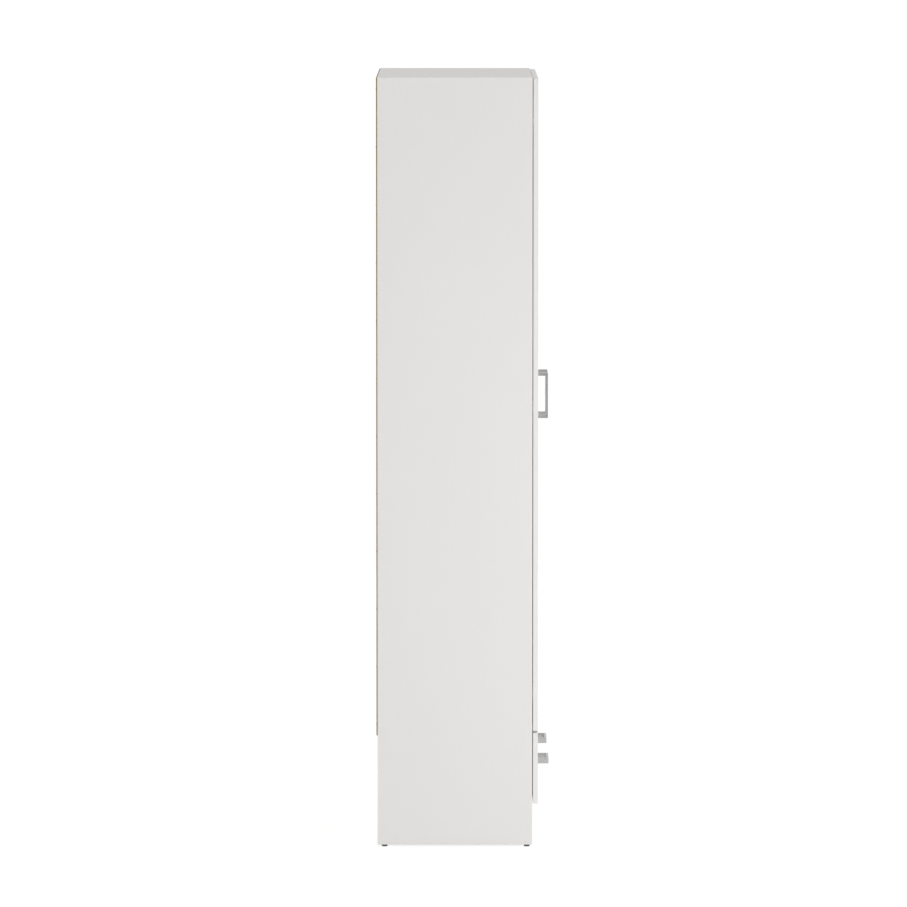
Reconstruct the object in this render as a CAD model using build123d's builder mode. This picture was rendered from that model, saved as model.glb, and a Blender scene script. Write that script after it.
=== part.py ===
from build123d import *
from math import ceil
import os

# A white two-door wardrobe with two drawers under its doors and a hardboard back.
# Millimetres. +Z is up, the doors face -Y, and +X is to the right of a person who faces them.
# The origin is on the floor, midway across the width and the overall depth.

# Overall size and boards
overall_width = 900.0
overall_height = 2000.0
board_thickness = 15.0
side_depth = 402.0
edge_radius = 0.8
cut_overrun = 1.0

# Hardboard back and the strip that joins its halves
back_thickness = 3.0
back_edge_inset = 1.0
back_floor_lap = 15.0
strip_lip_thickness = 1.0
strip_lip_width = 18.0
strip_web_thickness = 1.2
strip_fit = 0.2

# Heights of the spaces, from the floor up
glide_height = 5.0
plinth_height = 105.0
drawer_space_height = 165.5
hat_space_height = 285.0
plinth_setback = 20.0
shelf_rear_inset = 2.0

# Doors and drawer fronts
front_thickness = 13.0
front_gap = 1.8
front_side_inset = 1.0
meeting_gap = 3.0
door_top_inset = 3.0
door_floor_lap = 3.0
door_drawer_gap = 5.5
drawer_front_inset = 2.0

# Bow handles
handle_screw_spacing = 112.0
handle_width = 14.0
handle_projection = 30.0
handle_bar = 6.0
handle_post = 9.0
handle_corner = 2.5
handle_inner_corner = 1.5
handle_edge = 0.5
door_handle_from_edge = 55.0
handle_screw_radius = 2.0
handle_screw_length = 22.0
handle_screw_head_radius = 4.0
handle_screw_head_height = 2.2

# Cup hinges that turn on one pin
cup_radius = 17.5
cup_edge_distance = 2.0
cup_depth = 11.0
cup_wall = 0.6
cup_flange_thickness = 0.8
cup_flange_width = 14.0
cup_flange_length = 60.0
cup_flange_corner = 3.0
cup_screw_spacing = 48.0
cup_screw_offset = 6.0
pin_from_door_edge = 6.0
pin_from_door_back = 8.3
pin_radius = 1.1
running_clearance = 0.05
arm_eye_radius = 1.8
arm_thickness = 2.0
arm_width = 13.0
arm_turn = 10.9
arm_reach = 56.0
arm_corner = 1.5
hinge_plate_setback = 37.0
hinge_plate_width = 48.0
hinge_plate_depth = 14.0
hinge_plate_thickness = 1.6
hinge_plate_ridge_width = 11.0
hinge_plate_ridge_front = 20.0
hinge_screw_spacing = 32.0
hinge_end_distance = 100.0
hinges_per_door = 3

# Wood screws
screw_radius = 1.75
screw_head_radius = 3.5
screw_length = 13.0
screw_tip = 3.0
recess_length = 3.6
recess_width = 0.9
recess_depth = 1.5
short_screw_length = 10.0

# Cams, their bolts and the dowels
cam_radius = 7.5
cam_depth = 12.0
cam_distance = 34.0
cam_inset = 60.0
bolt_bore_radius = 4.0
bolt_thread_radius = 3.0
bolt_thread_depth = 11.0
bolt_collar_radius = 3.5
bolt_collar_length = 3.0
bolt_neck_radius = 2.0
bolt_head_radius = 3.0
bolt_head_length = 3.0
bolt_end_clearance = 1.0
dowel_radius = 4.0
dowel_length = 30.0
dowel_face_depth = 10.0
dowel_end_clearance = 1.0
dowel_chamfer = 1.0
dowel_inset = 92.0
plinth_dowel_inset = 28.0

# Hanging rail
rail_radius = 12.5
rail_wall = 1.0
rail_drop = 55.0
socket_radius = 16.0
socket_flange_radius = 19.0
socket_flange_thickness = 2.5
socket_depth = 14.0
socket_fit = 0.2
socket_edge = 0.6
socket_screw_spacing = 13.0

# Wall brackets under the top
bracket_leg = 30.0
bracket_width = 20.0
bracket_thickness = 2.0
bracket_hole_distance = 18.0
bracket_spacing = 600.0
wall_hole_radius = 2.75

# Nails in the back, and the floor glides
nail_radius = 0.7
nail_length = 20.0
nail_head_radius = 2.0
nail_head_thickness = 0.8
nail_spacing = 160.0
nail_end_distance = 30.0
glide_radius = 7.5
glide_edge = 1.5
glide_nail_radius = 1.25
glide_nail_length = 14.0
glide_front_distance = 14.0
glide_rear_distance = 18.0

# Drawer boxes
drawer_board = 12.0
drawer_side_height = 120.0
drawer_length = 350.0
drawer_bottom_thickness = 3.0
groove_lift = 10.0
groove_depth = 5.0
groove_fit = 0.2
drawer_dowel_inset = 32.0
thin_face_depth = 8.0
drawer_travel = 260.0

# Roller runners under the drawers
runner_gap = 12.5
runner_lift = 6.0
runner_sheet = 1.0
runner_setback = 2.0
channel_height = 16.0
channel_width = 9.5
roller_play = 0.3
front_roller_radius = 9.0
front_roller_width = 8.0
front_roller_setback = 20.0
rear_roller_width = 7.0
rear_roller_inset = 8.0
roller_end_play = 0.2
roller_pin_radius = 2.0
roller_pin_head_radius = 3.4
roller_pin_head = 0.8
roller_shoulder_radius = 3.4
roller_edge = 0.6
drawer_flange_width = 9.5
drawer_foot_width = 12.0
stop_gap = 0.5
stop_width = 5.0
runner_screw_inset = 37.0
runner_screw_stagger = 32.0

sides = ((-1, "left"), (1, "right"))

# Places across the width
outer_x = overall_width / 2
inner_x = outer_x - board_thickness
side_middle_x = outer_x - board_thickness / 2
front_outer_x = outer_x - front_side_inset
front_inner_x = meeting_gap / 2
opening_centre_x = (inner_x + board_thickness / 2) / 2
opening_half = (inner_x - board_thickness / 2) / 2
drawer_half = opening_half - runner_gap
handle_length = handle_screw_spacing + handle_post

# Places along the depth, from the strip's outer lip forward to the handles
overall_depth = (
    strip_lip_thickness + back_thickness + side_depth + front_gap + front_thickness + handle_projection
)
strip_rear = overall_depth / 2
back_rear = strip_rear - strip_lip_thickness
carcass_rear = back_rear - back_thickness
carcass_front = carcass_rear - side_depth
front_back = carcass_front - front_gap
front_face = front_back - front_thickness
middle_y = (carcass_front + carcass_rear) / 2
drawer_rear = front_back + drawer_length

# Heights
base_underside = glide_height + plinth_height
base_top = base_underside + board_thickness
floor_underside = base_top + drawer_space_height
floor_top = floor_underside + board_thickness
top_underside = overall_height - board_thickness
shelf_top = top_underside - hat_space_height
shelf_underside = shelf_top - board_thickness
door_bottom = floor_top - door_floor_lap
door_top = overall_height - door_top_inset
drawer_front_top = door_bottom - door_drawer_gap
drawer_front_bottom = base_underside + drawer_front_inset
door_middle = (door_bottom + door_top) / 2
drawer_front_middle = (drawer_front_bottom + drawer_front_top) / 2
back_bottom = floor_top - back_floor_lap
runner_bottom = base_top + runner_lift
drawer_bottom_edge = runner_bottom + runner_sheet
drawer_top_edge = drawer_bottom_edge + drawer_side_height
groove_bottom = drawer_bottom_edge + groove_lift
groove_top = groove_bottom + drawer_bottom_thickness + groove_fit

# The hinge axis, seen from above
pin_x = front_outer_x - pin_from_door_edge
pin_y = front_back - pin_from_door_back
cup_x = front_outer_x - cup_edge_distance - cup_radius
cup_screw_x = cup_x - cup_screw_offset
arm_inner_x = pin_x - arm_turn
hinge_first = door_bottom + hinge_end_distance
hinge_last = door_top - hinge_end_distance
hinge_spacing = (hinge_last - hinge_first) / (hinges_per_door - 1)
hinge_heights = [hinge_first + hinge_spacing * step for step in range(hinges_per_door)]

# The rollers
rear_roller_radius = (channel_height - 2 * runner_sheet - 2 * roller_play) / 2
roller_z = runner_bottom + channel_height / 2
front_roller_y = carcass_front + front_roller_setback
rear_roller_y = drawer_rear - rear_roller_inset
drawer_flange_z = roller_z + front_roller_radius + roller_play
channel_front = front_roller_y + front_roller_radius + stop_gap
channel_rear = rear_roller_y + rear_roller_radius + stop_gap + runner_sheet

# Places that the joints and screws share
cam_rows = (carcass_front + cam_inset, carcass_rear - cam_inset)
dowel_rows = (carcass_front + dowel_inset, carcass_rear - dowel_inset)
plinth_dowel_heights = (glide_height + plinth_dowel_inset, base_underside - plinth_dowel_inset)
plinth_middle_y = carcass_front + plinth_setback + board_thickness / 2
rear_rail_middle_y = carcass_rear - board_thickness / 2
drawer_dowel_heights = (drawer_bottom_edge + drawer_dowel_inset, drawer_top_edge - drawer_dowel_inset)


def box_between(low, high, mode=Mode.ADD):
    """Adds a box to the open part, given its lowest and its highest corner."""
    size = Vector(high) - Vector(low)
    with Locations(low):
        Box(size.X, size.Y, size.Z, align=Align.MIN, mode=mode)


def cut_with(tool, planes):
    """Cuts a copy of the tool out of the open part at each plane."""
    with Locations(*planes):
        add(tool, mode=Mode.SUBTRACT)


def spread(low, high, spacing):
    """Evenly spaced places from low to high, no further apart than the spacing."""
    steps = max(ceil((high - low) / spacing), 1)
    return [low + (high - low) * step / steps for step in range(steps + 1)]


def wall_plane(side, y, z):
    """A plane on the inner face of a side panel, facing the middle of the wardrobe."""
    return Plane(origin=(side * inner_x, y, z), x_dir=(0, 1, 0), z_dir=(-side, 0, 0))


def save(piece, name):
    """Labels a finished piece and writes it to a file of its own."""
    piece.part.label = name
    export_step(piece.part, f"parts/{name}.step")


os.makedirs("parts", exist_ok=True)


# Fasteners, each on the Z axis with the face that it is driven into at the origin


def countersunk_screw(length):
    """A wood screw without its recess, pointing down, with the top of its head at the origin."""
    with BuildPart() as screw:
        with BuildSketch(Plane.XZ):
            with BuildLine():
                Polyline(
                    (0, 0),
                    (screw_head_radius, 0),
                    (screw_radius, screw_radius - screw_head_radius),
                    (screw_radius, screw_tip - length),
                    (0, -length),
                    close=True,
                )
            make_face()
        revolve(axis=Axis.Z)
    return screw.part


def recessed(blank, height=0):
    """The fastener with a cross recess cut into a head whose top is at the height."""
    with BuildPart() as screw:
        add(blank)
        with BuildSketch(Plane.XY.offset(height)):
            Rectangle(recess_length, recess_width)
            Rectangle(recess_width, recess_length)
        extrude(amount=-recess_depth, mode=Mode.SUBTRACT)
    return screw.part


screw_blank = countersunk_screw(screw_length)
screw = recessed(screw_blank)
short_screw_blank = countersunk_screw(short_screw_length)
short_screw = recessed(short_screw_blank)

with BuildPart() as handle_screw_blank:
    Cylinder(handle_screw_radius, handle_screw_length, align=(Align.CENTER, Align.CENTER, Align.MAX))
    Cylinder(
        handle_screw_head_radius,
        handle_screw_head_height,
        align=(Align.CENTER, Align.CENTER, Align.MIN),
    )
    fillet(handle_screw_blank.faces().sort_by(Axis.Z)[-1].edges(), handle_screw_head_height / 2)
handle_screw = recessed(handle_screw_blank.part, handle_screw_head_height)

with BuildPart() as nail:
    Cylinder(nail_radius, nail_length, align=(Align.CENTER, Align.CENTER, Align.MAX))
    Cylinder(nail_head_radius, nail_head_thickness, align=(Align.CENTER, Align.CENTER, Align.MIN))

with BuildPart() as dowel:
    with Locations((0, 0, -dowel_face_depth)):
        Cylinder(dowel_radius, dowel_length, align=(Align.CENTER, Align.CENTER, Align.MIN))
    chamfer(dowel.edges().filter_by(GeomType.CIRCLE), dowel_chamfer)

with BuildPart() as dowel_hole:
    with Locations((0, 0, -dowel_face_depth - dowel_end_clearance)):
        Cylinder(
            dowel_radius,
            dowel_length + 2 * dowel_end_clearance,
            align=(Align.CENTER, Align.CENTER, Align.MIN),
        )

with BuildPart() as cam_bolt:
    with BuildSketch(Plane.XZ):
        with BuildLine():
            Polyline(
                (0, -bolt_thread_depth),
                (bolt_thread_radius, -bolt_thread_depth),
                (bolt_thread_radius, 0),
                (bolt_collar_radius, 0),
                (bolt_collar_radius, bolt_collar_length),
                (bolt_neck_radius, bolt_collar_length),
                (bolt_neck_radius, cam_distance - bolt_head_length / 2),
                (bolt_head_radius, cam_distance),
                (bolt_neck_radius, cam_distance + bolt_head_length / 2),
                (0, cam_distance + bolt_head_length / 2),
                close=True,
            )
        make_face()
    revolve(axis=Axis.Z)

# The bore that the bolt lies in, from the end of the board to just past the cam's middle
with BuildPart() as bolt_bore:
    Cylinder(
        bolt_bore_radius,
        cam_distance + bolt_head_length / 2 + bolt_end_clearance,
        align=(Align.CENTER, Align.CENTER, Align.MIN),
    )

# A cam's disc lies under its plane, with the bolt's bore through its middle height along local X
with BuildPart() as cam_disc:
    Cylinder(cam_radius, cam_depth, align=(Align.CENTER, Align.CENTER, Align.MAX))

with BuildPart() as cam_lock:
    add(cam_disc.part)
    cam_bore_start = -bolt_head_length / 2 - bolt_end_clearance
    with Locations((cam_bore_start, 0, -board_thickness / 2)):
        Cylinder(
            bolt_bore_radius,
            cam_radius - cam_bore_start,
            rotation=(0, 90, 0),
            align=(Align.CENTER, Align.CENTER, Align.MIN),
            mode=Mode.SUBTRACT,
        )
    with BuildSketch(Plane.XY):
        Rectangle(2 * recess_length, recess_width)
        Rectangle(recess_width, 2 * recess_length)
    extrude(amount=-recess_width, mode=Mode.SUBTRACT)

with BuildPart() as glide:
    Cylinder(glide_radius, glide_height, align=(Align.CENTER, Align.CENTER, Align.MAX))
    fillet(glide.faces().sort_by(Axis.Z)[0].edges(), glide_edge)
    Cylinder(glide_nail_radius, glide_nail_length, align=(Align.CENTER, Align.CENTER, Align.MIN))

# A bow handle stands on its two posts, its bar along local X
with BuildPart() as bow_handle:
    with BuildSketch(Plane.XZ.offset(-handle_width / 2)):
        with Locations((0, handle_projection / 2)):
            bow_outline = Rectangle(handle_length, handle_projection)
        fillet(bow_outline.vertices().group_by(Axis.Y)[-1], handle_corner)
    extrude(amount=handle_width)
    with BuildSketch(Plane.XZ.offset(-handle_width / 2)):
        with Locations((0, (handle_projection - handle_bar) / 2)):
            bow_opening = Rectangle(handle_length - 2 * handle_post, handle_projection - handle_bar)
        fillet(bow_opening.vertices().group_by(Axis.Y)[-1], handle_inner_corner)
    extrude(amount=handle_width, mode=Mode.SUBTRACT)
    bow_edges = bow_handle.edges().filter_by(Axis.Y, reverse=True)
    foot_edges = bow_handle.faces().filter_by(Axis.Z).group_by(Axis.Z)[0].edges()
    fillet([edge for edge in bow_edges if edge not in foot_edges], handle_edge)


# Where the fasteners go


def cam_planes(side, board_underside):
    """Planes of the cams in one end of a level board, facing down."""
    x = side * (inner_x - cam_distance)
    return [
        Plane(origin=(x, y, board_underside), x_dir=(side, 0, 0), z_dir=(0, 0, -1)) for y in cam_rows
    ]


def bolt_planes(side, board_underside):
    """Planes of the bolts at one end of a level board, on the side panel's inner face."""
    return [wall_plane(side, y, board_underside + board_thickness / 2) for y in cam_rows]


def end_dowel_planes(side, board_underside):
    """Planes of the dowels at one end of a level board, on the side panel's inner face."""
    return [wall_plane(side, y, board_underside + board_thickness / 2) for y in dowel_rows]


def plinth_dowel_planes(side, y):
    """Planes of the dowels at one end of an upright board under the base."""
    return [wall_plane(side, y, z) for z in plinth_dowel_heights]


def cut_end_joints(board_underside):
    """Cuts the holes for cams, bolts and dowels into both ends of a level board."""
    for side, _ in sides:
        cut_with(cam_disc.part, cam_planes(side, board_underside))
        cut_with(bolt_bore.part, bolt_planes(side, board_underside))
        cut_with(dowel_hole.part, end_dowel_planes(side, board_underside))


level_boards = (base_underside, floor_underside, shelf_underside, top_underside)

divider_planes = [
    Plane(origin=(0, y, z), x_dir=(1, 0, 0), z_dir=(0, 0, direction))
    for y in cam_rows
    for z, direction in ((base_top, 1), (floor_underside, -1))
]

bracket_screw_planes = [
    Plane(
        origin=(
            side * bracket_spacing / 2,
            carcass_rear - bracket_hole_distance,
            top_underside - bracket_thickness,
        ),
        x_dir=(1, 0, 0),
        z_dir=(0, 0, -1),
    )
    for side, _ in sides
]


def socket_screw_planes(side):
    """Planes of the screws that hold one rail socket, on the floor of its cup."""
    z = shelf_underside - rail_drop
    return [
        wall_plane(side, middle_y + offset, z).offset(socket_flange_thickness)
        for offset in (-socket_screw_spacing / 2, socket_screw_spacing / 2)
    ]


def hinge_screw_planes(side):
    """Planes of the screws that hold one side's hinge plates."""
    y = carcass_front + hinge_plate_setback
    return [
        wall_plane(side, y, height + offset).offset(hinge_plate_thickness)
        for height in hinge_heights
        for offset in (-hinge_screw_spacing / 2, hinge_screw_spacing / 2)
    ]


# Each cabinet runner has four holes. The two drawers use different ones, so that the screws from
# both faces of the divider don't meet.
runner_first = carcass_front + runner_screw_inset
runner_last = channel_rear - runner_screw_inset
runner_rows = {
    -1: (runner_first, runner_last - runner_screw_stagger),
    1: (runner_first + runner_screw_stagger, runner_last),
}


def runner_screw_planes(side, hand, rows):
    """Planes of the screws in one drawer's left or right cabinet runner, at the given rows."""
    wall = side * opening_centre_x + hand * opening_half
    return [
        Plane(origin=(wall, y, roller_z), x_dir=(0, 1, 0), z_dir=(-hand, 0, 0)).offset(runner_sheet)
        for y in rows
    ]


def nail_planes(side):
    """Planes of the nails in one half of the back, facing the rear."""
    heights = spread(back_bottom + nail_end_distance, overall_height - nail_end_distance, nail_spacing)
    across = spread(nail_end_distance, side_middle_x - nail_end_distance, nail_spacing)
    levels = (floor_underside + board_thickness / 2, top_underside + board_thickness / 2)
    places = [(side_middle_x, z) for z in heights]
    places += [(x, z) for z in levels for x in across]
    return [Plane(origin=(side * x, back_rear, z), x_dir=(1, 0, 0), z_dir=(0, 1, 0)) for x, z in places]


def glide_planes(side):
    """Planes of the floor glides under one side panel, facing up into it."""
    rows = (carcass_front + glide_front_distance, carcass_rear - glide_rear_distance)
    return [Plane(origin=(side * side_middle_x, y, glide_height)) for y in rows]


def handle_plane(x, z, along):
    """The plane that a bow handle stands on, with its bar in the given direction."""
    return Plane(origin=(x, front_face, z), x_dir=along, z_dir=(0, -1, 0))


def handle_screw_planes(x, z, along):
    """Planes of a handle's two screws, on the back of the door or drawer front."""
    centre = Vector(x, front_back, z)
    return [
        Plane(origin=centre + Vector(along) * (handle_screw_spacing * end / 2), x_dir=along, z_dir=(0, 1, 0))
        for end in (-1, 1)
    ]


# Side panels

for side, name in sides:
    with BuildPart() as side_panel:
        near, far = sorted((side * inner_x, side * outer_x))
        box_between((near, carcass_front, glide_height), (far, carcass_rear, overall_height))
        fillet(side_panel.edges().filter_by(Axis.Z).group_by(Axis.Y)[0], edge_radius)
        for level in level_boards:
            cut_with(cam_bolt.part, bolt_planes(side, level))
            cut_with(dowel_hole.part, end_dowel_planes(side, level))
        for y in (plinth_middle_y, rear_rail_middle_y):
            cut_with(dowel_hole.part, plinth_dowel_planes(side, y))
        cut_with(screw_blank, socket_screw_planes(side))
        cut_with(screw_blank, hinge_screw_planes(side))
        cut_with(screw_blank, runner_screw_planes(side, side, runner_rows[side]))
        cut_with(nail.part, nail_planes(side))
        cut_with(glide.part, glide_planes(side))
    save(side_panel, f"{name}_side_panel")

# Level boards between the side panels

with BuildPart() as base_panel:
    box_between((-inner_x, carcass_front, base_underside), (inner_x, carcass_rear, base_top))
    cut_end_joints(base_underside)
    cut_with(dowel_hole.part, divider_planes)
save(base_panel, "base_panel")

with BuildPart() as compartment_floor:
    box_between((-inner_x, carcass_front, floor_underside), (inner_x, carcass_rear, floor_top))
    cut_end_joints(floor_underside)
    cut_with(dowel_hole.part, divider_planes)
    for side, name in sides:
        cut_with(nail.part, nail_planes(side))
save(compartment_floor, "compartment_floor")

with BuildPart() as upper_shelf:
    shelf_rear = carcass_rear - shelf_rear_inset
    box_between((-inner_x, carcass_front, shelf_underside), (inner_x, shelf_rear, shelf_top))
    cut_end_joints(shelf_underside)
save(upper_shelf, "upper_shelf")

with BuildPart() as top_panel:
    box_between((-inner_x, carcass_front, top_underside), (inner_x, carcass_rear, overall_height))
    cut_end_joints(top_underside)
    cut_with(screw_blank, bracket_screw_planes)
    for side, name in sides:
        cut_with(nail.part, nail_planes(side))
save(top_panel, "top_panel")

# Upright boards under the doors

with BuildPart() as drawer_divider:
    divider_half = board_thickness / 2
    box_between((-divider_half, carcass_front, base_top), (divider_half, carcass_rear, floor_underside))
    cut_with(dowel_hole.part, divider_planes)
    for side, name in sides:
        cut_with(screw_blank, runner_screw_planes(side, -side, runner_rows[side]))
save(drawer_divider, "drawer_divider")

for name, y in (("front_plinth", plinth_middle_y), ("rear_rail", rear_rail_middle_y)):
    with BuildPart() as plinth:
        box_between(
            (-inner_x, y - board_thickness / 2, glide_height),
            (inner_x, y + board_thickness / 2, base_underside),
        )
        for side, _ in sides:
            cut_with(dowel_hole.part, plinth_dowel_planes(side, y))
    save(plinth, name)

# Hardboard back

for side, name in sides:
    with BuildPart() as back_panel:
        joint_x = strip_web_thickness / 2 + strip_fit
        near, far = sorted((side * joint_x, side * (outer_x - back_edge_inset)))
        back_top = overall_height - back_edge_inset
        box_between((near, carcass_rear, back_bottom), (far, back_rear, back_top))
        cut_with(nail.part, nail_planes(side))
        hole_z = top_underside - bracket_hole_distance
        with Locations(
            Plane(origin=(side * bracket_spacing / 2, back_rear, hole_z), x_dir=(1, 0, 0), z_dir=(0, 1, 0))
        ):
            Hole(wall_hole_radius)
    save(back_panel, f"back_panel_{name}")

with BuildPart() as back_joining_strip:
    with BuildSketch(Plane.XY.offset(floor_top)):
        with Locations((0, (carcass_rear + back_rear) / 2)):
            Rectangle(strip_web_thickness, back_thickness)
        for y, direction in ((carcass_rear, -1), (back_rear, 1)):
            with Locations((0, y + direction * strip_lip_thickness / 2)):
                Rectangle(strip_lip_width, strip_lip_thickness)
    extrude(amount=top_underside - floor_top)
save(back_joining_strip, "back_joining_strip")

with BuildPart() as back_panel_nails:
    with Locations(*nail_planes(-1), *nail_planes(1)):
        add(nail.part)
save(back_panel_nails, "back_panel_nails")

# Hanging rail and its sockets

rail_z = shelf_underside - rail_drop
rail_half = inner_x - socket_flange_thickness - socket_fit

with BuildPart() as hanging_rail:
    with BuildSketch(Plane.YZ.offset(-rail_half)):
        with Locations((middle_y, rail_z)):
            Circle(rail_radius)
            Circle(rail_radius - rail_wall, mode=Mode.SUBTRACT)
    extrude(amount=2 * rail_half)
save(hanging_rail, "hanging_rail")

with BuildPart() as rail_sockets:
    with BuildSketch(Plane.YZ.offset(-inner_x)):
        with Locations((middle_y, rail_z)):
            Circle(socket_flange_radius)
    extrude(amount=socket_flange_thickness)
    with BuildSketch(Plane.YZ.offset(-inner_x)):
        with Locations((middle_y, rail_z)):
            Circle(socket_radius)
    extrude(amount=socket_depth)
    fillet(rail_sockets.faces().sort_by(Axis.X)[-1].edges(), socket_edge)
    with BuildSketch(Plane.YZ.offset(-inner_x + socket_flange_thickness)):
        with Locations((middle_y, rail_z)):
            Circle(rail_radius + socket_fit)
    extrude(amount=socket_depth, mode=Mode.SUBTRACT)
    cut_with(screw_blank, socket_screw_planes(-1))
    mirror(about=Plane.YZ)
save(rail_sockets, "rail_sockets")

# Brackets that hold the wardrobe to a wall

with BuildPart() as wall_brackets:
    bracket_x = bracket_spacing / 2
    low_x = bracket_x - bracket_width / 2
    high_x = bracket_x + bracket_width / 2
    box_between(
        (low_x, carcass_rear - bracket_leg, top_underside - bracket_thickness),
        (high_x, carcass_rear, top_underside),
    )
    box_between(
        (low_x, carcass_rear - bracket_thickness, top_underside - bracket_leg),
        (high_x, carcass_rear, top_underside),
    )
    inner_bend = wall_brackets.edges().filter_by(Axis.X).sort_by(Axis.Z)[2:-2]
    fillet(inner_bend.sort_by(Axis.Y)[0], bracket_thickness / 2)
    hole_z = top_underside - bracket_hole_distance
    with Locations(Plane(origin=(bracket_x, carcass_rear, hole_z), x_dir=(1, 0, 0), z_dir=(0, 1, 0))):
        Hole(wall_hole_radius)
    mirror(about=Plane.YZ)
    cut_with(screw_blank, bracket_screw_planes)
save(wall_brackets, "wall_brackets")

# Cams, bolts, dowels and glides

with BuildPart() as cam_locks:
    for level in level_boards:
        with Locations(*cam_planes(-1, level), *cam_planes(1, level)):
            add(cam_lock.part)
save(cam_locks, "cam_locks")

with BuildPart() as cam_bolts:
    for level in level_boards:
        with Locations(*bolt_planes(-1, level), *bolt_planes(1, level)):
            add(cam_bolt.part)
save(cam_bolts, "cam_bolts")

with BuildPart() as dowels:
    with Locations(*divider_planes):
        add(dowel.part)
    for side, _ in sides:
        for level in level_boards:
            with Locations(*end_dowel_planes(side, level)):
                add(dowel.part)
        for y in (plinth_middle_y, rear_rail_middle_y):
            with Locations(*plinth_dowel_planes(side, y)):
                add(dowel.part)
save(dowels, "dowels")

with BuildPart() as floor_glides:
    with Locations(*glide_planes(-1), *glide_planes(1)):
        add(glide.part)
save(floor_glides, "floor_glides")

# Door hinges: the plate and arm stay on the side panel, the cup and pin swing with the door

with BuildPart() as hinge_plate:
    wall = -inner_x
    ridge_top = -arm_inner_x
    plate_front = carcass_front + hinge_plate_setback - hinge_plate_depth / 2
    box_between(
        (wall, plate_front, -hinge_plate_width / 2),
        (wall + hinge_plate_thickness, plate_front + hinge_plate_depth, hinge_plate_width / 2),
    )
    fillet(hinge_plate.edges().filter_by(Axis.X), edge_radius)
    box_between(
        (wall, carcass_front + hinge_plate_ridge_front, -hinge_plate_ridge_width / 2),
        (ridge_top, carcass_front + arm_reach, hinge_plate_ridge_width / 2),
    )

with BuildPart() as hinge_plates:
    with Locations(*[(0, 0, height) for height in hinge_heights]):
        add(hinge_plate.part)
    mirror(about=Plane.YZ)
    for side, _ in sides:
        cut_with(screw_blank, hinge_screw_planes(side))
save(hinge_plates, "hinge_plates")

with BuildPart() as hinge_arm:
    arm_front = pin_y - arm_thickness / 2
    arm_rear = carcass_front + arm_reach
    arm_inside = -arm_inner_x
    arm_outside = arm_inside + arm_thickness
    with BuildSketch(Plane.XY.offset(-arm_width / 2)):
        with BuildLine():
            Polyline(
                (-pin_x, arm_front),
                (arm_outside, arm_front),
                (arm_outside, arm_rear),
                (arm_inside, arm_rear),
                (arm_inside, arm_front + arm_thickness),
                (-pin_x, arm_front + arm_thickness),
                close=True,
            )
        make_face()
    extrude(amount=arm_width)
    outer_bend = hinge_arm.edges().filter_by(Axis.Z).sort_by(Axis.Y)[:2].sort_by(Axis.X)[-1]
    fillet(outer_bend, arm_corner)
    with BuildSketch(Plane.XY.offset(-arm_width / 2)):
        with Locations((-pin_x, pin_y)):
            Circle(arm_eye_radius)
    extrude(amount=arm_width)
    with BuildSketch(Plane.XY.offset(-arm_width / 2)):
        with Locations((-pin_x, pin_y)):
            Circle(pin_radius + running_clearance)
    extrude(amount=arm_width, mode=Mode.SUBTRACT)

with BuildPart() as hinge_arms:
    with Locations(*[(0, 0, height) for height in hinge_heights]):
        add(hinge_arm.part)
    mirror(about=Plane.YZ)
save(hinge_arms, "hinge_arms")

with BuildPart() as cup_blank:
    with BuildSketch(Plane.XZ.offset(-front_back)):
        with Locations((-cup_x, 0)):
            Circle(cup_radius)
    extrude(amount=cup_depth)

# The pin runs from wall to wall of the cup and ends flush with its outside
with BuildPart() as hinge_pin:
    with Locations((-pin_x, pin_y, 0)):
        Cylinder(pin_radius, 2 * cup_radius)
    add(cup_blank.part, mode=Mode.INTERSECT)

cup_screw_heights = (-cup_screw_spacing / 2, cup_screw_spacing / 2)
flange_face = front_back + cup_flange_thickness

with BuildPart() as hinge_cup:
    add(cup_blank.part)
    with BuildSketch(Plane.XZ.offset(-flange_face)):
        with Locations((-cup_x, 0)):
            Circle(cup_radius)
        with Locations((-cup_screw_x, 0)):
            RectangleRounded(cup_flange_width, cup_flange_length, cup_flange_corner)
    extrude(amount=cup_flange_thickness)
    with BuildSketch(Plane.XZ.offset(-flange_face)):
        with Locations((-cup_x, 0)):
            Circle(cup_radius - cup_wall)
    extrude(amount=cup_flange_thickness + cup_depth - cup_wall, mode=Mode.SUBTRACT)
    cut_with(hinge_pin.part, [Plane.XY])
    for z in cup_screw_heights:
        screw_origin = (-cup_screw_x, flange_face, z)
        cut_with(short_screw_blank, [Plane(origin=screw_origin, x_dir=(1, 0, 0), z_dir=(0, 1, 0))])

# Doors

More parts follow.
